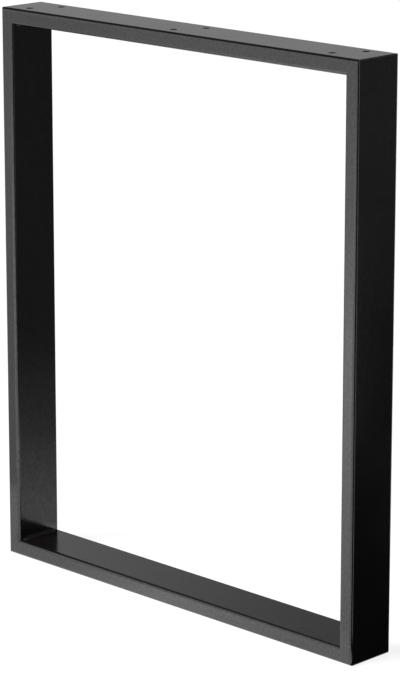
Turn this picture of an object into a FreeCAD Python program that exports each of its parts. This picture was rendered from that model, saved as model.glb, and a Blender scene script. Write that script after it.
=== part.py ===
# Table leg frame of flat rectangular steel tube.
# Two rails and two posts are mitred at the corners and welded into a closed rectangle.
# The welds are ground flush outside, and a fillet bead stays inside each corner.
# Millimetres: X runs along the rails, Y through the depth of the tube, Z up.
# The origin is on the floor, under the middle of the frame.
import FreeCAD, Part
import math
import os

import Sketcher

# Driving dimensions: alias, value and meaning of each row of the sheet
SIZES = (
    ("frame_width", 600.0, "frame, outside to outside along the rails"),
    ("frame_height", 720.0, "frame, floor to table top"),
    ("tube_depth", 70.0, "wide side of the tube section"),
    ("tube_thickness", 20.0, "narrow side of the tube section"),
    ("tube_wall", 2.0, "wall of the tube"),
    ("tube_edge_radius", 4.0, "outer radius of the long edges of the tube"),
    ("ground_radius", 1.5, "rounding left by grinding the outer mitre corners"),
    ("weld_leg", 4.0, "leg of the fillet bead inside a corner"),
    ("weld_crown", 0.4, "rise of the bead over its straight face"),
    ("weld_setback", 2.0, "end of the bead from the rounded edge of the tube"),
    ("screw_hole", 9.0, "diameter of the screw holes in the upper wall"),
    ("access_hole", 16.0, "diameter of the screwdriver holes in the lower wall"),
    ("hole_end_distance", 35.0, "outermost screw hole from the end of the rail"),
    ("hole_row_distance", 35.0, "front row of holes to back row"),
    ("hole_stagger", 20.0, "shift of a back hole along the rail from its front hole"),
    ("hole_pairs", 3, "pairs of screw holes along the rail"),
)

# Sizes that follow from the sheet
INNER_RADIUS = "max(Sizes.tube_edge_radius - Sizes.tube_wall; Sizes.tube_wall / 4)"
CUT_OVERRUN = "Sizes.tube_thickness / 2"
POST_AXIS = "Sizes.frame_width / 2 - Sizes.tube_thickness / 2"
RAIL_AXIS = "Sizes.tube_thickness / 2"
INNER_SIDE = "Sizes.frame_width / 2 - Sizes.tube_thickness"
INNER_FLOOR = "Sizes.tube_thickness"
INNER_CEILING = "Sizes.frame_height - Sizes.tube_thickness"

# Tubes: label, outside length, place of the middle along X and Z, and turn about Y in degrees.
# Unturned, a tube lies along X with its outer face up.
TUBES = (
    ("top_rail", "Sizes.frame_width", "0", f"Sizes.frame_height - {RAIL_AXIS}", 0),
    ("bottom_rail", "Sizes.frame_width", "0", RAIL_AXIS, 180),
    ("left_post", "Sizes.frame_height", f"-({POST_AXIS})", "Sizes.frame_height / 2", -90),
    ("right_post", "Sizes.frame_height", POST_AXIS, "Sizes.frame_height / 2", 90),
)

# Weld beads: label, place of the inner corner along X and Z, and turn about Y in degrees.
# Unturned, the legs of a bead run along +X and +Z.
BEADS = (
    ("weld_bottom_left", f"-({INNER_SIDE})", INNER_FLOOR, 0),
    ("weld_bottom_right", INNER_SIDE, INNER_FLOOR, -90),
    ("weld_top_left", f"-({INNER_SIDE})", INNER_CEILING, 90),
    ("weld_top_right", INNER_SIDE, INNER_CEILING, 180),
)

# Point numbers of a sketch line or arc, and the sketch origin as a reference
START, END, CENTRE = 1, 2, 3
ORIGIN = (-1, START)


def make_sheet(doc):
    """Put the driving dimensions into a sheet, one aliased cell each."""
    sheet = doc.addObject("Spreadsheet::Sheet", "Sizes")
    for row, (alias, size, meaning) in enumerate(SIZES, start=1):
        sheet.set(f"A{row}", alias)
        sheet.set(f"B{row}", str(size))
        sheet.setAlias(f"B{row}", alias)
        sheet.set(f"C{row}", meaning)
    doc.recompute()


def value_of(owner, expression):
    """Work out an expression of the sheet as a plain number."""
    return float(owner.evalExpression(expression))


def origin_feature(body, role):
    """Find one of the body's own origin planes or axes."""
    return next(feature for feature in body.Origin.OriginFeatures if feature.Role == role)


def make_sketch(body, name, plane_role):
    """Start a sketch on one of the body's own origin planes."""
    sketch = body.newObject("Sketcher::SketchObject", name)
    sketch.AttachmentSupport = [(origin_feature(body, plane_role), "")]
    sketch.MapMode = "FlatFace"
    return sketch


def add_line(sketch, start, end):
    """Add a straight line between two points and return its number."""
    return sketch.addGeometry(Part.LineSegment(FreeCAD.Vector(*start), FreeCAD.Vector(*end)), False)


def add_arc(sketch, centre, radius, first_angle, last_angle):
    """Add an anticlockwise arc, with angles in degrees, and return its number."""
    circle = Part.Circle(FreeCAD.Vector(*centre), FreeCAD.Vector(0, 0, 1), radius)
    return sketch.addGeometry(
        Part.ArcOfCircle(circle, math.radians(first_angle), math.radians(last_angle)), False
    )


def constrain(sketch, kind, *references):
    """Add a constraint without a size."""
    sketch.addConstraint(Sketcher.Constraint(kind, *references))


def bind(sketch, name, expression, kind, *references):
    """Add a dimension and bind it to an expression of the sheet."""
    size = value_of(sketch, expression)
    index = sketch.addConstraint(Sketcher.Constraint(kind, *references, size))
    sketch.renameConstraint(index, name)
    sketch.setExpression(f"Constraints.{name}", expression)


def close_loop(sketch, loop):
    """Join the end of each piece of an outline to the start of the next."""
    for piece, following in zip(loop, loop[1:] + loop[:1]):
        constrain(sketch, "Coincident", piece, END, following, START)


def add_rounded_rectangle(sketch, name, width, height, radius):
    """Centre a rectangle with four equal round corners on the sketch origin."""
    half_width = value_of(sketch, width) / 2
    half_height = value_of(sketch, height) / 2
    corner_radius = value_of(sketch, radius)
    x = half_width - corner_radius
    y = half_height - corner_radius
    bottom = add_line(sketch, (-x, -half_height), (x, -half_height))
    right = add_line(sketch, (half_width, -y), (half_width, y))
    top = add_line(sketch, (x, half_height), (-x, half_height))
    left = add_line(sketch, (-half_width, y), (-half_width, -y))
    sides = [bottom, right, top, left]
    centres = [(x, -y), (x, y), (-x, y), (-x, -y)]
    corners = [
        add_arc(sketch, centre, corner_radius, 90 * turn - 90, 90 * turn)
        for turn, centre in enumerate(centres)
    ]
    for side, corner, next_side in zip(sides, corners, sides[1:] + sides[:1]):
        constrain(sketch, "Tangent", side, END, corner, START)
        constrain(sketch, "Tangent", corner, END, next_side, START)
    for side in (bottom, top):
        constrain(sketch, "Horizontal", side)
    for side in (right, left):
        constrain(sketch, "Vertical", side)
    for corner in corners[1:]:
        constrain(sketch, "Equal", corners[0], corner)
    constrain(sketch, "Symmetric", bottom, START, top, START, *ORIGIN)
    bind(sketch, f"{name}_width", width, "DistanceX", left, START, right, START)
    bind(sketch, f"{name}_height", height, "DistanceY", bottom, START, top, START)
    bind(sketch, f"{name}_radius", radius, "Radius", corners[0])


def add_mitre_outline(sketch, length):
    """Outline what the saw and the grinder take off the +X end of a tube.

    The outline runs up the mitre line, round the ground corner to the outer face,
    and then outside the tube back to its start.
    """
    half_length = value_of(sketch, length) / 2
    half_thickness = value_of(sketch, "Sizes.tube_thickness") / 2
    radius = value_of(sketch, "Sizes.ground_radius")
    overrun = value_of(sketch, CUT_OVERRUN)
    centre = (half_length - radius, half_thickness - radius)
    tip = (centre[0] + radius * math.sqrt(0.5), centre[1] + radius * math.sqrt(0.5))
    crest = (centre[0], half_thickness)
    above = half_thickness + overrun
    below = -above
    beyond = half_length + overrun
    foot = (half_length - half_thickness - above, below)
    mitre = add_line(sketch, foot, tip)
    rounding = add_arc(sketch, centre, radius, 45, 90)
    rise = add_line(sketch, crest, (crest[0], above))
    over = add_line(sketch, (crest[0], above), (beyond, above))
    down = add_line(sketch, (beyond, above), (beyond, below))
    back = add_line(sketch, (beyond, below), foot)
    close_loop(sketch, [mitre, rounding, rise, over, down, back])
    for upright in (rise, down):
        constrain(sketch, "Vertical", upright)
    for level in (over, back):
        constrain(sketch, "Horizontal", level)
    constrain(sketch, "Angle", mitre, math.radians(45))
    constrain(sketch, "PointOnObject", rounding, CENTRE, mitre)
    constrain(sketch, "Vertical", rounding, CENTRE, rounding, END)
    bind(sketch, "radius", "Sizes.ground_radius", "Radius", rounding)
    bind(sketch, "centre_x", f"({length}) / 2 - Sizes.ground_radius",
         "DistanceX", *ORIGIN, rounding, CENTRE)
    bind(sketch, "centre_z", "Sizes.tube_thickness / 2 - Sizes.ground_radius",
         "DistanceY", *ORIGIN, rounding, CENTRE)
    bind(sketch, "above", CUT_OVERRUN, "DistanceY", rise, START, rise, END)
    bind(sketch, "beyond", f"Sizes.ground_radius + {CUT_OVERRUN}", "DistanceX", over, START, over, END)
    bind(sketch, "below", f"Sizes.tube_thickness / 2 + {CUT_OVERRUN}", "DistanceY", down, END, *ORIGIN)


def add_hole_pair(sketch, diameter):
    """Draw the staggered pair of holes nearest to the -X end of the rail."""
    first_x = value_of(sketch, "Sizes.hole_end_distance - Sizes.frame_width / 2")
    row_y = value_of(sketch, "Sizes.hole_row_distance / 2")
    stagger = value_of(sketch, "Sizes.hole_stagger")
    radius = value_of(sketch, diameter) / 2
    up = FreeCAD.Vector(0, 0, 1)
    front = sketch.addGeometry(Part.Circle(FreeCAD.Vector(first_x, -row_y), up, radius), False)
    back = sketch.addGeometry(Part.Circle(FreeCAD.Vector(first_x + stagger, row_y), up, radius), False)
    constrain(sketch, "Equal", front, back)
    bind(sketch, "diameter", diameter, "Diameter", front)
    bind(sketch, "first_x", "Sizes.frame_width / 2 - Sizes.hole_end_distance",
         "DistanceX", front, CENTRE, *ORIGIN)
    bind(sketch, "front_y", "Sizes.hole_row_distance / 2", "DistanceY", front, CENTRE, *ORIGIN)
    bind(sketch, "back_y", "Sizes.hole_row_distance / 2", "DistanceY", *ORIGIN, back, CENTRE)
    bind(sketch, "stagger", "Sizes.hole_stagger", "DistanceX", front, CENTRE, back, CENTRE)


def add_bead_outline(sketch):
    """Draw the section of a fillet bead: two equal legs and a slightly crowned face."""
    leg = value_of(sketch, "Sizes.weld_leg")
    crown = value_of(sketch, "Sizes.weld_crown")
    face_radius = "(Sizes.weld_leg ^ 2 / 2 + Sizes.weld_crown ^ 2) / (2 * Sizes.weld_crown)"
    radius = value_of(sketch, face_radius)
    inset = leg / 2 - (radius - crown) * math.sqrt(0.5)
    first_angle = math.degrees(math.atan2(-inset, leg - inset))
    floor_leg = add_line(sketch, (0, 0), (leg, 0))
    face = add_arc(sketch, (inset, inset), radius, first_angle, 90 - first_angle)
    side_leg = add_line(sketch, (0, leg), (0, 0))
    close_loop(sketch, [floor_leg, face, side_leg])
    constrain(sketch, "Coincident", floor_leg, START, *ORIGIN)
    constrain(sketch, "Horizontal", floor_leg)
    constrain(sketch, "Vertical", side_leg)
    constrain(sketch, "Equal", floor_leg, side_leg)
    bind(sketch, "leg", "Sizes.weld_leg", "DistanceX", floor_leg, START, floor_leg, END)
    bind(sketch, "face_radius", face_radius, "Radius", face)


def extrude(body, name, sketch, length):
    """Extrude a sketch to both sides of its plane, by a length bound to the sheet."""
    pad = body.newObject("PartDesign::Pad", name)
    pad.Profile = sketch
    pad.SideType = "Symmetric"
    pad.setExpression("Length", length)
    body.Document.recompute()
    return pad


def cut(body, name, sketch, side_type, upward=False):
    """Cut a sketch right through the body, and stop if it removed nothing."""
    before = body.Shape.Volume
    pocket = body.newObject("PartDesign::Pocket", name)
    pocket.Profile = sketch
    pocket.Type = "ThroughAll"
    pocket.SideType = side_type
    pocket.Reversed = upward
    body.Document.recompute()
    if not body.Shape.Volume < before:
        raise RuntimeError(f"{name} removed nothing")
    return pocket


def repeat(body, kind, name, originals):
    """Add a mirror or a pattern of earlier cuts and make it the body's result."""
    copies = body.newObject(kind, name)
    copies.Originals = originals
    body.Tip = copies
    return copies


def place(body, x, z, turn):
    """Turn a body about Y and bind its place in the frame to the sheet."""
    body.Placement = FreeCAD.Placement(FreeCAD.Vector(), FreeCAD.Rotation(FreeCAD.Vector(0, 1, 0), turn))
    body.setExpression("Placement.Base.x", x)
    body.setExpression("Placement.Base.z", z)


def make_tube(doc, label, length):
    """Make a length of tube with a mitre at each end, along X with its outer face up."""
    body = doc.addObject("PartDesign::Body", label)
    section = make_sketch(body, f"{label}_section", "YZ_Plane")
    add_rounded_rectangle(
        section, "outer", "Sizes.tube_depth", "Sizes.tube_thickness", "Sizes.tube_edge_radius"
    )
    add_rounded_rectangle(
        section, "bore", "Sizes.tube_depth - 2 * Sizes.tube_wall",
        "Sizes.tube_thickness - 2 * Sizes.tube_wall", INNER_RADIUS
    )
    extrude(body, f"{label}_tube", section, length)
    outline = make_sketch(body, f"{label}_mitre_outline", "XZ_Plane")
    add_mitre_outline(outline, length)
    mitre = cut(body, f"{label}_mitre", outline, "Symmetric")
    both_ends = repeat(body, "PartDesign::Mirrored", f"{label}_mitres", [mitre])
    both_ends.MirrorPlane = (origin_feature(body, "YZ_Plane"), [""])
    doc.recompute()
    return body


def add_screw_holes(body):
    """Drill the staggered pairs of screw holes, with wider access holes below them."""
    cuts = []
    for name, diameter, upward in (
        ("screw_holes", "Sizes.screw_hole", True),
        ("access_holes", "Sizes.access_hole", False),
    ):
        sketch = make_sketch(body, f"{name}_pair", "XY_Plane")
        add_hole_pair(sketch, diameter)
        cuts.append(cut(body, name, sketch, "One side", upward))
    row = repeat(body, "PartDesign::LinearPattern", "hole_row", cuts)
    row.Direction = (origin_feature(body, "X_Axis"), [""])
    row.setExpression("Length", "Sizes.frame_width - 2 * Sizes.hole_end_distance - Sizes.hole_stagger")
    row.setExpression("Occurrences", "Sizes.hole_pairs")
    body.Document.recompute()


def make_bead(doc, label):
    """Make the fillet bead of one inner corner, with the corner line along Y."""
    body = doc.addObject("PartDesign::Body", label)
    sketch = make_sketch(body, f"{label}_section", "XZ_Plane")
    add_bead_outline(sketch)
    length = "Sizes.tube_depth - 2 * (Sizes.tube_edge_radius + Sizes.weld_setback)"
    extrude(body, f"{label}_bead", sketch, length)
    return body


def check(doc, bodies):
    """Stop if any object failed, or a sub-part is not one valid solid."""
    for item in doc.Objects:
        if "Invalid" in item.State or "Error" in item.State:
            raise RuntimeError(f"{item.Name} failed: {item.State}")
    for body in bodies:
        shape = body.Shape
        if shape.isNull() or not shape.isValid() or len(shape.Solids) != 1:
            raise RuntimeError(f"{body.Label} is not one valid solid")


def main():
    """Build the frame and write each of its pieces to its own file."""
    doc = FreeCAD.newDocument("TableLegFrame")
    make_sheet(doc)
    bodies = []
    for label, length, x, z, turn in TUBES:
        tube = make_tube(doc, label, length)
        place(tube, x, z, turn)
        bodies.append(tube)
    add_screw_holes(bodies[0])
    for label, x, z, turn in BEADS:
        bead = make_bead(doc, label)
        place(bead, x, z, turn)
        bodies.append(bead)
    doc.recompute()
    check(doc, bodies)
    os.makedirs("parts", exist_ok=True)
    for body in bodies:
        body.Shape.exportStep(os.path.join("parts", f"{body.Label}.step"))
        print(f"{body.Label}: {body.Shape.Volume:.0f} mm3")


main()
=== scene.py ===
"""Looks of a closed frame table leg: four mitred tubes, weld beads in its corners and a black powder coat.

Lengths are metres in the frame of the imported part. X runs along the rails, Y through the depth of the
tube and Z up, with the origin on the floor under the middle of the frame.
"""
import logging
import math
from dataclasses import dataclass
from enum import Enum

import bpy
import numpy as np
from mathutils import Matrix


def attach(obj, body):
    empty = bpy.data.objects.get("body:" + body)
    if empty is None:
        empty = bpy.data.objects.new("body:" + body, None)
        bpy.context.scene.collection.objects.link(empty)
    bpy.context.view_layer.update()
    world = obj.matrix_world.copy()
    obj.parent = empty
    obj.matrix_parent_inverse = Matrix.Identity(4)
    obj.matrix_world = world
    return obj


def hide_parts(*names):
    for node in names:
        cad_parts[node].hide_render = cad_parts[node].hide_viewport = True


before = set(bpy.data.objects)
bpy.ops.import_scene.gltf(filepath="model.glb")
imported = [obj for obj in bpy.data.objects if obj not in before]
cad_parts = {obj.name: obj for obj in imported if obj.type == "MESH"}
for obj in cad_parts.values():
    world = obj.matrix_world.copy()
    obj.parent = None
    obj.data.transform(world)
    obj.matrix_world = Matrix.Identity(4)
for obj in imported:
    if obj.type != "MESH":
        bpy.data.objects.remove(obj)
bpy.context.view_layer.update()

Vector = tuple[float, float, float]
Span = tuple[float, float]

LOG = logging.getLogger("table_leg")
MM = 0.001
BODY = "root"
DEPTH_AXIS = np.array([0.0, 1.0, 0.0])
# Edges that turn by more than this are shaded sharp.
SHARP_ANGLE = math.radians(35.0)
# Narrow strip of a flat beside each rounded edge, which keeps the shading of the flat even.
SHOULDER = 0.3 * MM
# Heights and stations nearer to each other than these count as one.
TOUCH = 0.001 * MM
STATION_DIGITS = 7
# Values that a noise texture mostly stays between.
NOISE_SPAN = (0.3, 0.7)


class Side(Enum):
    """Place of a tube in the frame.

    Each value has the way the tube's axis runs and the way its outer face looks, both as (x, z).
    """

    TOP = ((1.0, 0.0), (0.0, 1.0))
    BOTTOM = ((-1.0, 0.0), (0.0, -1.0))
    LEFT = ((0.0, 1.0), (-1.0, 0.0))
    RIGHT = ((0.0, -1.0), (1.0, 0.0))

    @property
    def axis(self) -> np.ndarray:
        """Unit vector along the tube."""
        x, z = self.value[0]
        return np.array([x, 0.0, z])

    @property
    def outward(self) -> np.ndarray:
        """Unit vector out of the face that looks away from the middle of the frame."""
        x, z = self.value[1]
        return np.array([x, 0.0, z])


class Wall(Enum):
    """Wall of a tube that a hole goes through: the outer one or the one that looks into the frame."""

    OUTER = 1
    INNER = -1


@dataclass(frozen=True)
class FrameSizes:
    """Sizes of the frame and of the flat tube that it is cut from."""

    width: float = 600 * MM
    height: float = 720 * MM
    depth: float = 70 * MM
    thickness: float = 20 * MM
    wall: float = 2 * MM
    edge_radius: float = 4 * MM
    ground_radius: float = 1.5 * MM

    def length(self, side: Side) -> float:
        """Outside length of the tube on a side of the frame."""
        return self.width if side in (Side.TOP, Side.BOTTOM) else self.height

    def middle(self, side: Side) -> np.ndarray:
        """Point in the middle of the tube on a side of the frame."""
        reach = (self.height if side in (Side.TOP, Side.BOTTOM) else self.width) / 2
        return np.array([0.0, 0.0, self.height / 2]) + side.outward * (reach - self.thickness / 2)


def add_object(name: str, data: bpy.types.ID) -> bpy.types.Object:
    """Put a new object into the scene, at the origin.

    Args:
        name: name of the object.
        data: its mesh, light or camera.

    Returns:
        The object.
    """
    item = bpy.data.objects.new(name, data)
    bpy.context.scene.collection.objects.link(item)
    return item


def empty_tree(block: bpy.types.ID) -> bpy.types.NodeTree:
    """Give a material or a world a node tree with nothing in it.

    Args:
        block: the material or the world.

    Returns:
        The tree.
    """
    block.use_nodes = True
    block.node_tree.nodes.clear()
    return block.node_tree


def map_range(
    tree: bpy.types.NodeTree, value: bpy.types.NodeSocket, source: Span, target: Span
) -> bpy.types.NodeSocket:
    """Map a value evenly from one span to another, and hold it past the ends.

    Args:
        tree: node tree of the value.
        value: socket of the value.
        source: span that the value comes from.
        target: span that it goes to.

    Returns:
        The socket of the mapped value.
    """
    node = tree.nodes.new("ShaderNodeMapRange")
    for name, limit in zip(("From Min", "From Max", "To Min", "To Max"), (*source, *target)):
        node.inputs[name].default_value = limit
    tree.links.new(value, node.inputs["Value"])
    return node.outputs["Result"]


@dataclass(frozen=True)
class PowderCoat:
    """Satin black powder coat: near black, with orange peel, a fine grain and a slowly changing gloss."""

    name: str = "powder_coat"
    tone: Vector = (0.0062, 0.005, 0.0054)
    pale_tone: Vector = (0.0086, 0.007, 0.0074)
    glossy_roughness: float = 0.13
    dull_roughness: float = 0.18
    cloud_length: float = 90 * MM
    refraction: float = 1.78
    pit_shine: float = 0.33
    full_shine: float = 0.5
    grain_length: float = 3.2 * MM
    peel_height: float = 0.014 * MM
    peel_length: float = 1.6 * MM
    wave_length: float = 6.5 * MM
    wave_ratio: float = 4.0

    def material(self) -> bpy.types.Material:
        """Build the node material.

        Returns:
            A Principled material with its colour, gloss, grain and bump from noise on Object coordinates.
        """
        material = bpy.data.materials.new(self.name)
        material.use_nodes = True
        tree = material.node_tree
        nodes, links = tree.nodes, tree.links
        shader = nodes["Principled BSDF"]
        shader.inputs["IOR"].default_value = self.refraction
        place = nodes.new("ShaderNodeTexCoord").outputs["Object"]

        # Colour and gloss drift together in wide clouds.
        clouds = self._noise(tree, place, self.cloud_length, detail=3.0)
        colour = nodes.new("ShaderNodeMix")
        colour.data_type = "RGBA"
        colour.inputs["A"].default_value = (*self.tone, 1.0)
        colour.inputs["B"].default_value = (*self.pale_tone, 1.0)
        links.new(clouds, colour.inputs["Factor"])
        links.new(colour.outputs["Result"], shader.inputs["Base Color"])
        gloss = map_range(tree, clouds, NOISE_SPAN, (self.glossy_roughness, self.dull_roughness))
        links.new(gloss, shader.inputs["Roughness"])

        # The pits of the grain reflect less than the rest.
        grain = self._noise(tree, place, self.grain_length, detail=2.0)
        pits = map_range(tree, grain, NOISE_SPAN, (self.pit_shine, self.full_shine))
        links.new(pits, shader.inputs["Specular IOR Level"])

        # The height is the fine peel plus a few times the longer waves.
        peel = self._noise(tree, place, self.peel_length, detail=1.0)
        waves = self._noise(tree, place, self.wave_length, detail=0.0)
        height = nodes.new("ShaderNodeMath")
        height.operation = "MULTIPLY_ADD"
        height.inputs[1].default_value = self.wave_ratio
        links.new(waves, height.inputs[0])
        links.new(peel, height.inputs[2])
        bump = nodes.new("ShaderNodeBump")
        bump.inputs["Distance"].default_value = self.peel_height
        links.new(height.outputs["Value"], bump.inputs["Height"])
        links.new(bump.outputs["Normal"], shader.inputs["Normal"])
        return material

    @staticmethod
    def _noise(
        tree: bpy.types.NodeTree, place: bpy.types.NodeSocket, length: float, detail: float
    ) -> bpy.types.NodeSocket:
        """Add a noise texture.

        Args:
            tree: node tree of the material.
            place: socket of the coordinates that the noise reads.
            length: size of the noise's features in metres.
            detail: octaves above the first.

        Returns:
            The socket of the noise's value.
        """
        noise = tree.nodes.new("ShaderNodeTexNoise")
        noise.inputs["Scale"].default_value = 1.0 / length
        noise.inputs["Detail"].default_value = detail
        tree.links.new(place, noise.inputs["Vector"])
        return noise.outputs["Fac"]


def make_piece(
    name: str, points: np.ndarray, faces: list[list[int]], node: str, coat: bpy.types.Material
) -> bpy.types.Object:
    """Make an object from a surface and let it stand for a node of the part.

    Args:
        name: name of the piece.
        points: vertices, shape (n, 3), already in their place.
        faces: vertex numbers of each face.
        node: CAD node that the piece replaces.
        coat: material of the piece.

    Returns:
        The object, at the origin.
    """
    mesh = bpy.data.meshes.new(name)
    mesh.from_pydata(points.tolist(), [], faces)
    mesh.materials.append(coat)
    mesh.shade_smooth()
    mesh.set_sharp_from_angle(angle=SHARP_ANGLE)
    piece = add_object(name, mesh)
    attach(piece, BODY)
    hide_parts(node)
    return piece


def number_grid(points: np.ndarray, first: int = 0) -> np.ndarray:
    """Vertex numbers, shape (rows, columns), of a grid of points that starts at a number."""
    return first + np.arange(points[..., 0].size).reshape(points.shape[:2])


def strip_faces(near: np.ndarray, far: np.ndarray) -> np.ndarray:
    """Join closed loops of vertex numbers by quads, one pair of loops or rows of them at a time.

    Args:
        near: vertex numbers of the first loops, shape (..., n).
        far: vertex numbers of the second loops, which lie to the left of the first.

    Returns:
        Quads, shape (..., n, 4): each runs along the first loop and back along the second.
    """
    return np.stack([near, np.roll(near, -1, axis=-1), np.roll(far, -1, axis=-1), far], axis=-1)


def merge_stations(*groups: np.ndarray) -> np.ndarray:
    """All stations of the groups in order, each once."""
    return np.unique(np.round(np.concatenate(groups), STATION_DIGITS))


@dataclass
class TubeSection:
    """Section of the tube: a rectangle with rounded corners, walked anticlockwise seen against the axis.

    The two coordinates are y, through the depth, and n, out of the outer face, from the middle of the tube.
    """

    sizes: FrameSizes
    across: np.ndarray
    arc_steps: int = 10

    def loop(self) -> tuple[np.ndarray, np.ndarray]:
        """Walk the section: four times a flat and a quarter circle of the edge radius.

        A flat is its distance from the middle times its normal, plus each step of the walk times its
        tangent. The tangent is the next flat's normal, and the arc turns the one into the other.

        Returns:
            Points (n, 2) and outward normals (n, 2). A second section inside the first one's wall is the
            points less the wall times the normals.
        """
        radius = self.sizes.edge_radius
        half = np.array([self.sizes.depth, self.sizes.thickness]) / 2 - radius
        inset = half[1] - SHOULDER
        rise = np.array([-half[1], -inset, 0.0, inset, half[1]])
        turn = np.linspace(0, math.pi / 2, self.arc_steps + 1)[1:-1, None]
        normal = np.array([1.0, 0.0])
        points, normals = [], []
        for walk in (rise, self.across, rise, self.across):
            tangent = np.array([-normal[1], normal[0]])
            flat = normal * (half + radius) + walk[:, None] * tangent
            spoke = np.cos(turn) * normal + np.sin(turn) * tangent
            points += [flat, (normal + tangent) * half + radius * spoke]
            normals += [np.broadcast_to(normal, flat.shape), spoke]
            normal = tangent
        return np.concatenate(points), np.concatenate(normals)


@dataclass
class Hole:
    """Round hole through one wall of a tube, drilled before coating, so its outer rim is softened."""

    along: float
    across: float
    radius: float
    wall: Wall
    rim: float = 0.15 * MM
    rim_steps: int = 5
    face_shares: tuple[float, ...] = (0.4, 0.75, 0.95)
    bore_shares: tuple[float, ...] = (0.6, 1.0)
    far_share: float = 0.5

    def rings(self, border: np.ndarray, surface: float, wall: float) -> np.ndarray:
        """Surface from the square border of the hole's cell to the hole, through the wall and out again.

        Each ring blends the border with a circle: (1 - t) border + t circle, at a radius and a depth that
        follow the face (t from 0 to 1), a quarter round of the rim, the bore, and the far face (t back
        to 0).

        Args:
            border: points (m, 2) along and across the tube round the cell.
            surface: height of the wall's outer face along the outward axis, with its sign.
            wall: thickness of the wall.

        Returns:
            Rings, shape (rings, m, 3), in along, across and outward coordinates.
        """
        turn = np.linspace(0, math.pi / 2, self.rim_steps + 1)
        rim_radius = self.radius + self.rim * (1 - np.sin(turn))
        rim_depth = self.rim * (1 - np.cos(turn))
        on_face, on_bore = len(self.face_shares), len(self.bore_shares)
        share = np.concatenate([self.face_shares, np.ones(len(turn) + on_bore), [self.far_share]])
        bore_radius = np.full(on_bore + 1, self.radius)
        radius = np.concatenate([np.full(on_face, rim_radius[0]), rim_radius, bore_radius])
        depth = np.concatenate([np.zeros(on_face), rim_depth, wall * np.array(self.bore_shares), [wall]])
        share, radius, depth = (values[:, None, None] for values in (share, radius, depth))
        middle = np.array([self.along, self.across])
        spoke = border - middle
        circle = middle + radius * spoke / np.linalg.norm(spoke, axis=-1, keepdims=True)
        flat = (1 - share) * border + share * circle
        height = np.broadcast_to(surface - np.sign(surface) * depth, (*flat.shape[:2], 1))
        return np.concatenate([flat, height], axis=-1)


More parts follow.
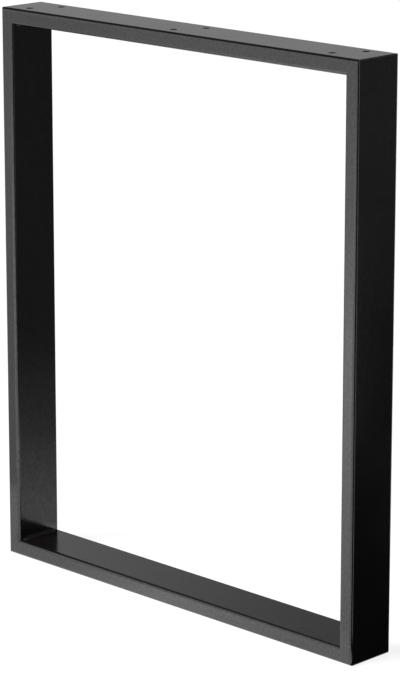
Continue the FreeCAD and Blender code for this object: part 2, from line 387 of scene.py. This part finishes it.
@dataclass
class Tube:
    """One length of tube with a mitre at each end, and holes where it has them.

    Points are in along, across and outward coordinates, from the middle of the tube, until they are placed.
    """

    node: str
    side: Side
    sizes: FrameSizes
    holes: tuple[Hole, ...] = ()
    cell: float = 9.5 * MM
    cell_steps: int = 12
    cell_margin: float = 1 * MM
    mitre_margin: float = 4 * MM
    mitre_band: float = 1.3 * MM
    ground_steps: int = 10
    plain_steps: int = 24

    def build(self, coat: bpy.types.Material) -> bpy.types.Object:
        """Make the tube's closed skin: outside, mitre rings, inside, and a patch for each hole.

        Args:
            coat: material of the tube.

        Returns:
            The object.
        """
        section, normals = TubeSection(self.sizes, self._across()).loop()
        along = self._along()
        outside = self._skin(section, along, self.sizes.ground_radius)
        inside = self._skin(section - self.sizes.wall * normals, along, 0.0)
        number = number_grid(outside)
        hidden = number_grid(inside, number.size)
        keep = np.ones(number[1:].shape, bool)
        points = [outside.reshape(-1, 3), inside.reshape(-1, 3)]
        patches = []
        count = 2 * number.size
        for hole in self.holes:
            block = self._block(hole, along, section, len(number))
            keep[block] = False
            border = self._border(number, block)
            surface = hole.wall.value * self.sizes.thickness / 2
            rings = hole.rings(points[0][border, :2], surface, self.sizes.wall)
            far_border = self._border(hidden, block)
            loops = np.concatenate([border[None], number_grid(rings, count), far_border[None]])
            patches.append(strip_faces(loops[:-1], loops[1:]).reshape(-1, 4))
            points.append(rings.reshape(-1, 3))
            count += len(points[-1])
        skin = strip_faces(number[:-1], number[1:])[keep]
        liner = strip_faces(hidden[:-1], hidden[1:])[keep][:, ::-1]
        ends = [strip_faces(hidden[0], number[0]), strip_faces(number[-1], hidden[-1])]
        faces = np.concatenate([skin, liner, *ends, *patches]).tolist()
        return make_piece(f"{self.node}_tube", self._placed(np.concatenate(points)), faces, self.node, coat)

    def _cells(self, middles: list[float]) -> np.ndarray:
        """Stations of the cells round the holes whose middles are given."""
        return np.add.outer(middles, np.linspace(-self.cell, self.cell, self.cell_steps + 1)).ravel()

    def _across(self) -> np.ndarray:
        """Choose the stations through the depth of the tube on its two wide faces.

        Returns:
            Stations, close together where holes are.
        """
        half = self.sizes.depth / 2 - self.sizes.edge_radius
        base = np.array([-half, SHOULDER - half, 0.0, half - SHOULDER, half])
        return merge_stations(base, self._cells([hole.across for hole in self.holes]))

    def _along(self) -> np.ndarray:
        """Choose the stations along the straight middle of the tube.

        Returns:
            Stations, close together where holes are.
        """
        half = self.sizes.length(self.side) / 2 - self.sizes.thickness - self.mitre_margin
        base = np.linspace(-half, half, self.plain_steps + 1)
        middles = [hole.along for hole in self.holes]
        far = np.abs(np.subtract.outer(base, middles)) > self.cell + self.cell_margin
        return merge_stations(base[far.all(axis=1)], self._cells(middles))

    def _skin(self, section: np.ndarray, along: np.ndarray, ground: float) -> np.ndarray:
        """Carry a section along the tube to its two mitres.

        A point at height n ends where the mitre is, at half the length less half the thickness plus n. Near
        the ends of the outer face the height is cut down to the quarter circle that grinding has left.

        Args:
            section: points (m, 2) of the section.
            along: stations of the straight middle.
            ground: radius of the ground corner, or 0 for none.

        Returns:
            Points (rows, m, 3).
        """
        half_length = self.sizes.length(self.side) / 2
        half_thick = self.sizes.thickness / 2
        y, n = section.T
        end = np.minimum(half_length - half_thick + n, half_length - ground + ground * math.sqrt(0.5))
        turn = np.linspace(0, math.pi / 4, self.ground_steps + 1)
        steps = self.sizes.ground_radius * (math.sqrt(0.5) - np.sin(turn))
        right = end - np.concatenate([[self.mitre_band], steps])[:, None]
        middle = np.broadcast_to(along[:, None], (len(along), len(y)))
        station = np.concatenate([-right[::-1], middle, right])
        past = np.clip(np.abs(station) - (half_length - ground), 0.0, ground)
        ceiling = half_thick - ground + np.sqrt(ground ** 2 - past ** 2)
        return np.stack([station, np.broadcast_to(y, station.shape), np.minimum(n, ceiling)], axis=-1)

    def _block(self, hole: Hole, along: np.ndarray, section: np.ndarray, rows: int) -> tuple[slice, slice]:
        """Find the quads of a hole's cell.

        Args:
            hole: the hole.
            along: stations of the straight middle.
            section: points of the section.
            rows: rows of the skin.

        Returns:
            Slices of rows and columns of quads.
        """
        first = (rows - len(along)) // 2 + int(np.argmin(np.abs(along - (hole.along - self.cell))))
        face = np.abs(section[:, 1] - hole.wall.value * self.sizes.thickness / 2) < TOUCH
        edge = hole.across + hole.wall.value * self.cell
        column = int(np.argmin(np.where(face, np.abs(section[:, 0] - edge), np.inf)))
        return slice(first, first + self.cell_steps), slice(column, column + self.cell_steps)

    @staticmethod
    def _border(number: np.ndarray, block: tuple[slice, slice]) -> np.ndarray:
        """Vertex numbers round a block of quads, in the order in which its own quads would run."""
        cell = number[block[0].start:block[0].stop + 1, block[1].start:block[1].stop + 1]
        return np.concatenate([cell[0, :-1], cell[:-1, -1], cell[-1, :0:-1], cell[:0:-1, 0]])

    def _placed(self, points: np.ndarray) -> np.ndarray:
        """Move points to their place: the tube's middle plus each coordinate times its axis."""
        axes = np.stack([self.side.axis, DEPTH_AXIS, self.side.outward])
        return self.sizes.middle(self.side) + points @ axes


@dataclass
class WeldBead:
    """Fillet weld inside a corner of the frame: a convex run of overlapping ripples with tapered ends."""

    node: str
    rail: Side
    post: Side
    sizes: FrameSizes
    leg: float = 4 * MM
    crown: float = 0.25 * MM
    ripple: float = 0.15 * MM
    pitch: float = 2.4 * MM
    bow: float = 1.1 * MM
    length: float = 58 * MM
    end_run: float = 7 * MM
    end_scale: float = 0.12
    face_steps: int = 14
    run_steps: int = 220

    def build(self, coat: bpy.types.Material) -> bpy.types.Object:
        """Make the bead's closed skin: the loops along its run, and a fan from the middle of each end.

        Args:
            coat: material of the bead.

        Returns:
            The object.
        """
        points = self._loops()
        number = number_grid(points)
        first, last = number[0], number[-1]
        near_middle = np.full_like(first, number.size)
        quads = strip_faces(number[:-1], number[1:]).reshape(-1, 4)
        near_fan = np.stack([np.roll(first, -1), first, near_middle], axis=-1)
        far_fan = np.stack([last, np.roll(last, -1), near_middle + 1], axis=-1)
        step = -1 if np.cross(self.post.outward, self.rail.outward) @ DEPTH_AXIS < 0 else 1
        faces = quads[:, ::step].tolist() + near_fan[:, ::step].tolist() + far_fan[:, ::step].tolist()
        vertices = np.concatenate([points.reshape(-1, 3), points[[0, -1]].mean(axis=1)])
        return make_piece(f"{self.node}_bead", vertices, faces, self.node, coat)

    def _loops(self) -> np.ndarray:
        """Work out the surface on a grid of u across the face and y along the run.

        The face goes from one leg to the other, straight plus a rise of (crown + ripple) times 4 u (1 - u).
        The ripple is the rounded saw |cos| of y over the pitch, bowed along y by 4 u (1 - u). The back
        follows the two tube walls. All of it is scaled by a quarter cosine wave over the last stretch at
        each end.

        Returns:
            Closed loops, shape (rows, columns, 3), in their place.
        """
        u = np.linspace(0, 1, self.face_steps + 1)
        y = np.linspace(-self.length / 2, self.length / 2, self.run_steps + 1)[:, None]
        hump = 4 * u * (1 - u)
        wave = np.abs(np.cos(math.pi * (y + self.bow * hump) / self.pitch))
        rise = (self.crown + self.ripple * wave) * hump * math.sqrt(0.5)
        face = np.stack([self.leg * (1 - u) + rise, self.leg * u + rise], axis=-1)
        v = u[-2:0:-1]
        back = self.leg * np.stack([np.maximum(1 - 2 * v, 0), np.maximum(2 * v - 1, 0)], axis=-1)
        section = np.concatenate([face, np.broadcast_to(back, (len(y), *back.shape))], axis=1)
        past = np.clip((np.abs(y) - self.length / 2 + self.end_run) / self.end_run, 0, 1)
        section = section * np.maximum(np.cos(past * math.pi / 2), self.end_scale)[..., None]
        inward = -np.stack([self.post.outward, self.rail.outward])
        return self._corner() + section @ inward + y[..., None] * DEPTH_AXIS

    def _corner(self) -> np.ndarray:
        """Find the inner corner of the frame.

        Returns:
            The point where the two inner faces meet, in the middle of the tube's depth.
        """
        rail, post = self.sizes.middle(self.rail), self.sizes.middle(self.post)
        corner = np.array([post[0], 0.0, rail[2]])
        return corner - self.sizes.thickness / 2 * (self.rail.outward + self.post.outward)


@dataclass
class ScrewPattern:
    """Staggered pairs of screw holes in the outer wall of the top rail, with access holes below them."""

    columns: tuple[float, ...] = (-255 * MM, 0.0, 255 * MM)
    stagger: float = 20 * MM
    row_distance: float = 35 * MM
    screw_radius: float = 4.5 * MM
    access_radius: float = 8 * MM

    def holes(self) -> tuple[Hole, ...]:
        """List the holes.

        Returns:
            For each wall and each pair a front hole and a back one.
        """
        spots = [
            (column + sign * self.stagger / 2, sign * self.row_distance / 2)
            for column in self.columns
            for sign in (-1, 1)
        ]
        radii = {Wall.OUTER: self.screw_radius, Wall.INNER: self.access_radius}
        return tuple(Hole(x, y, radius, wall) for wall, radius in radii.items() for x, y in spots)


@dataclass
class LegFrame:
    """The welded leg: two rails, two posts and a bead in each inner corner."""

    sizes: FrameSizes
    coat: PowderCoat
    pattern: ScrewPattern

    def build(self) -> list[bpy.types.Object]:
        """Build every piece and give it the coat.

        Returns:
            The pieces.
        """
        coat = self.coat.material()
        tubes = [
            Tube("top_rail", Side.TOP, self.sizes, self.pattern.holes()),
            Tube("bottom_rail", Side.BOTTOM, self.sizes),
            Tube("left_post", Side.LEFT, self.sizes),
            Tube("right_post", Side.RIGHT, self.sizes),
        ]
        beads = [
            WeldBead("weld_bottom_left", Side.BOTTOM, Side.LEFT, self.sizes),
            WeldBead("weld_bottom_right", Side.BOTTOM, Side.RIGHT, self.sizes),
            WeldBead("weld_top_left", Side.TOP, Side.LEFT, self.sizes),
            WeldBead("weld_top_right", Side.TOP, Side.RIGHT, self.sizes),
        ]
        return [part.build(coat) for part in (*tubes, *beads)]


def stage_sheet(name: str, corners: np.ndarray, material: bpy.types.Material) -> bpy.types.Object:
    """Make a flat sheet of the stage, which isn't part of the leg.

    Args:
        name: name of the sheet.
        corners: its four corners in order, shape (4, 3).
        material: its material.

    Returns:
        The object.
    """
    mesh = bpy.data.meshes.new(name)
    mesh.from_pydata(corners.tolist(), [], [(0, 1, 2, 3)])
    mesh.materials.append(material)
    sheet = add_object(name, mesh)
    return sheet


@dataclass(frozen=True)
class Card:
    """Studio card that only reflections see: a parallelogram with an edge and a rise from one corner.

    The brightness goes evenly from first to last over a span of the rise. A dark card is a flag.
    """

    name: str
    corner: Vector
    edge: Vector
    rise: Vector
    first: float
    last: float
    span: Span = (0.0, 1.0)

    def build(self) -> bpy.types.Object:
        """Make the card.

        Returns:
            The object, hidden from the camera, diffuse, transmission and shadow rays.
        """
        corner, edge, rise = (np.array(side) for side in (self.corner, self.edge, self.rise))
        corners = np.stack([corner, corner + edge, corner + edge + rise, corner + rise])
        card = stage_sheet(self.name, corners, self._material())
        card.visible_camera = False
        card.visible_diffuse = False
        card.visible_transmission = False
        card.visible_shadow = False
        return card

    def _material(self) -> bpy.types.Material:
        """Make the glow by the share of the rise that a point is at.

        The share is the point's offset from the corner, dot the rise, over the rise squared.

        Returns:
            The material.
        """
        material = bpy.data.materials.new(self.name)
        tree = empty_tree(material)
        nodes, links = tree.nodes, tree.links
        out = nodes.new("ShaderNodeOutputMaterial")
        glow = nodes.new("ShaderNodeEmission")
        links.new(glow.outputs["Emission"], out.inputs["Surface"])
        if self.first == self.last:
            glow.inputs["Strength"].default_value = self.first
            return material
        rise = np.array(self.rise)
        rate = rise / (rise @ rise)
        start = np.array(self.corner) @ rate
        place = nodes.new("ShaderNodeTexCoord")
        share = nodes.new("ShaderNodeVectorMath")
        share.operation = "DOT_PRODUCT"
        share.inputs[1].default_value = rate
        links.new(place.outputs["Object"], share.inputs[0])
        span = (start + self.span[0], start + self.span[1])
        strength = map_range(tree, share.outputs["Value"], span, (self.first, self.last))
        links.new(strength, glow.inputs["Strength"])
        return material


def seen_rays(tree: bpy.types.NodeTree) -> bpy.types.NodeSocket:
    """Tell the rays that show the background, which are camera, glossy and transmission rays.

    Args:
        tree: node tree of a material or the world.

    Returns:
        A socket that is 1 for those rays and 0 for the rest.
    """
    path = tree.nodes.new("ShaderNodeLightPath")
    socket = path.outputs["Is Camera Ray"]
    for other in ("Is Glossy Ray", "Is Transmission Ray"):
        add = tree.nodes.new("ShaderNodeMath")
        add.operation = "ADD"
        add.use_clamp = True
        tree.links.new(socket, add.inputs[0])
        tree.links.new(path.outputs[other], add.inputs[1])
        socket = add.outputs["Value"]
    return socket


# Cards that the top faces of the rails show.
TOP_CARDS = (
    Card("flag_back_left", (-2.18, -0.60, 0.0), (2.4, 2.25, 0.0), (0.0, 0.0, 1.7), 0.02, 0.02),
    Card("card_low", (-1.20, 0.28, 0.0), (0.0, 0.0, 0.56), (0.96, 0.90, 0.0), 0.46, 0.23, (0.25, 0.65)),
    Card("card_high", (-2.16, -0.62, 0.74), (2.4, 2.25, 0.0), (0.0, 0.0, 0.28), 0.42, 0.42),
    Card("card_upper", (-0.912, 0.55, 1.02), (0.48, 0.45, 0.0), (0.0, 0.0, 0.45), 0.42, 0.42),
)
# Cards that the left post's inner face shows.
INNER_CARDS = (
    Card(
        "flag_inner",
        (0.285, 0.2014, 0.0), (-0.531, 0.559, 0.0), (0.0, 0.0, 0.9), 0.24, 0.09, (0.0, 0.16),
    ),
    Card(
        "flag_inner_floor",
        (-0.145, 0.0, 0.001), (-0.47, 0.519, 0.0), (0.341, 0.309, 0.0), 0.62, 0.25, (0.2, 1.0),
    ),
)
# Cards that the right post's outer face shows.
OUTER_CARDS = (
    Card("flag_side", (0.65, 0.889, 0.0), (0.768, -0.67, 0.0), (0.0, 0.0, 1.0), 0.015, 0.125, (0.0, 0.45)),
    Card(
        "flag_side_front",
        (0.909, 0.656, 0.0), (0.505, -0.441, 0.0), (0.0, 0.0, 0.36), 0.16, 0.18,
    ),
    Card(
        "flag_side_floor",
        (0.301, -0.14, 0.001), (0.0, 0.32, 0.0), (0.66, 0.759, 0.0), 0.014, 0.028, (0.25, 0.9),
    ),
    Card(
        "flag_side_foot",
        (0.301, -0.045, 0.0015), (1.1, 0.23, 0.0), (0.66, 0.759, 0.0), 0.014, 0.028, (0.25, 0.9),
    ),
)
# Cards that the rounded edges show.
EDGE_CARDS = (
    Card("flag_corner", (2.1, -2.365, 0.0), (1.18, 2.04, 0.0), (0.0, 0.0, 0.45), 0.02, 0.02),
    Card("flag_corner_floor", (0.303, -0.045, 0.001), (1.8, -2.4, 0.0), (2.97, -0.36, 0.0), 0.02, 0.02),
    Card("flag_top", (-3.4, -1.0, 1.7), (5.0, 0.0, 0.0), (0.0, 2.6, 0.0), 0.02, 0.02),
)
# Cards on the floor that the front faces of both posts and both rails show.
FRONT_CARDS = (
    Card(
        "card_left_floor",
        (-0.724, 0.023, 0.002), (0.30, -0.335, 0.0), (-3.12, -2.81, 0.0), 0.68, 0.78, (0.08, 0.4),
    ),
    Card("card_left_far", (-4.1, -2.95, 0.003), (0.55, 0.0, 0.0), (0.0, -0.7, 0.0), 0.45, 0.45),
    Card(
        "card_rail_left",
        (-0.36, -0.036, 0.002), (0.0, -0.08, 0.0), (0.325, 0.0, 0.0), 1.05, 1.72, (0.42, 1.0),
    ),
    Card(
        "card_rail_right",
        (-0.035, -0.036, 0.002), (0.0, -0.08, 0.0), (0.365, 0.0, 0.0), 1.72, 1.25, (0.0, 0.65),
    ),
    Card(
        "card_post_low",
        (0.073, -0.083, 0.002), (0.195, -0.173, 0.0), (-0.792, -0.893, 0.0), 1.18, 2.0,
    ),
    Card(
        "card_post_high",
        (-0.719, -0.976, 0.002), (0.195, -0.173, 0.0), (-1.583, -1.786, 0.0), 2.0, 1.02, (0.0, 0.5),
    ),
)


@dataclass
class Studio:
    """Pale floor, white surroundings, one large soft light, cards and the camera."""

    floor_half: float = 40.0
    floor_tone: float = 0.3
    near_glow: float = 0.86
    far_glow: float = 0.97
    glow_start: float = 0.6
    glow_end: float = 3.0
    ambient: float = 0.12
    key_place: Vector = (-0.8, -2.5, 1.7)
    key_size: float = 1.8
    key_power: float = 130.0
    target: Vector = (0.0, 0.0, 0.36)
    camera_place: Vector = (2.4591, -2.4808, 1.2427)
    camera_turn: float = 44.551
    camera_dip: float = 13.212
    camera_shift: float = -0.1
    focal_pixels: float = 2943.3
    picture_height: float = 677.0
    sensor: float = 36.0
    view_reach: float = 200.0
    cards: tuple[Card, ...] = (*TOP_CARDS, *INNER_CARDS, *OUTER_CARDS, *EDGE_CARDS, *FRONT_CARDS)

    def build(self) -> None:
        """Build the floor, the surroundings, the cards, the light and the camera."""
        self._floor()
        self._world()
        for card in self.cards:
            card.build()
        self._key()
        self._camera()
        bpy.context.scene.view_settings.view_transform = "Standard"

    def _floor(self) -> None:
        """Lay a pale floor that shows white to the seen rays and still takes the shadow.

        Its glow goes evenly from near to far over a span of the distance from the leg.
        """
        material = bpy.data.materials.new("floor")
        tree = empty_tree(material)
        nodes, links = tree.nodes, tree.links
        paint = nodes.new("ShaderNodeBsdfDiffuse")
        paint.inputs["Color"].default_value = (self.floor_tone, self.floor_tone, self.floor_tone, 1.0)
        place = nodes.new("ShaderNodeTexCoord")
        distance = nodes.new("ShaderNodeVectorMath")
        distance.operation = "LENGTH"
        links.new(place.outputs["Object"], distance.inputs[0])
        reach = (self.glow_start, self.glow_end)
        fade = map_range(tree, distance.outputs["Value"], reach, (self.near_glow, self.far_glow))
        strength = nodes.new("ShaderNodeMath")
        strength.operation = "MULTIPLY"
        links.new(seen_rays(tree), strength.inputs[0])
        links.new(fade, strength.inputs[1])
        glow = nodes.new("ShaderNodeEmission")
        links.new(strength.outputs["Value"], glow.inputs["Strength"])
        both = nodes.new("ShaderNodeAddShader")
        links.new(paint.outputs["BSDF"], both.inputs[0])
        links.new(glow.outputs["Emission"], both.inputs[1])
        out = nodes.new("ShaderNodeOutputMaterial")
        links.new(both.outputs["Shader"], out.inputs["Surface"])
        corners = self.floor_half * np.array([[-1, -1, 0], [1, -1, 0], [1, 1, 0], [-1, 1, 0]])
        stage_sheet("floor", corners, material)

    def _world(self) -> None:
        """Surround the stage with white for the seen rays and a low even light for the rest."""
        world = bpy.data.worlds.new("studio")
        bpy.context.scene.world = world
        tree = empty_tree(world)
        nodes, links = tree.nodes, tree.links
        low = nodes.new("ShaderNodeBackground")
        low.inputs["Strength"].default_value = self.ambient
        white = nodes.new("ShaderNodeBackground")
        for shade in (low, white):
            shade.inputs["Color"].default_value = (1.0, 1.0, 1.0, 1.0)
        mix = nodes.new("ShaderNodeMixShader")
        links.new(seen_rays(tree), mix.inputs["Fac"])
        links.new(low.outputs["Background"], mix.inputs[1])
        links.new(white.outputs["Background"], mix.inputs[2])
        out = nodes.new("ShaderNodeOutputWorld")
        links.new(mix.outputs["Shader"], out.inputs["Surface"])

    def _key(self) -> None:
        """Hang the large soft light at the left of the front, turned to the middle of the leg."""
        data = bpy.data.lights.new("key", "AREA")
        data.shape = "SQUARE"
        data.size = self.key_size
        data.energy = self.key_power
        lamp = add_object("key", data)
        x, y, z = np.array(self.key_place) - np.array(self.target)
        lamp.location = self.key_place
        lamp.rotation_euler = (math.atan2(math.hypot(x, y), z), 0.0, math.atan2(x, -y))
        lamp.visible_glossy = False

    def _camera(self) -> None:
        """Set the camera at the picture's viewing angle."""
        data = bpy.data.cameras.new("camera")
        data.sensor_width = self.sensor
        data.lens = self.focal_pixels / self.picture_height * self.sensor
        data.shift_y = self.camera_shift
        data.clip_end = self.view_reach
        camera = add_object("camera", data)
        camera.location = self.camera_place
        camera.rotation_euler = (math.radians(90.0 - self.camera_dip), 0.0, math.radians(self.camera_turn))
        bpy.context.scene.camera = camera


def main() -> None:
    """Build the leg and the studio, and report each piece."""
    logging.basicConfig(level=logging.INFO, format="%(name)s: %(message)s")
    for piece in LegFrame(FrameSizes(), PowderCoat(), ScrewPattern()).build():
        mesh = piece.data
        LOG.info("%s: %d vertices, %d faces", piece.name, len(mesh.vertices), len(mesh.polygons))
    Studio().build()


if __name__ == "__main__":
    main()
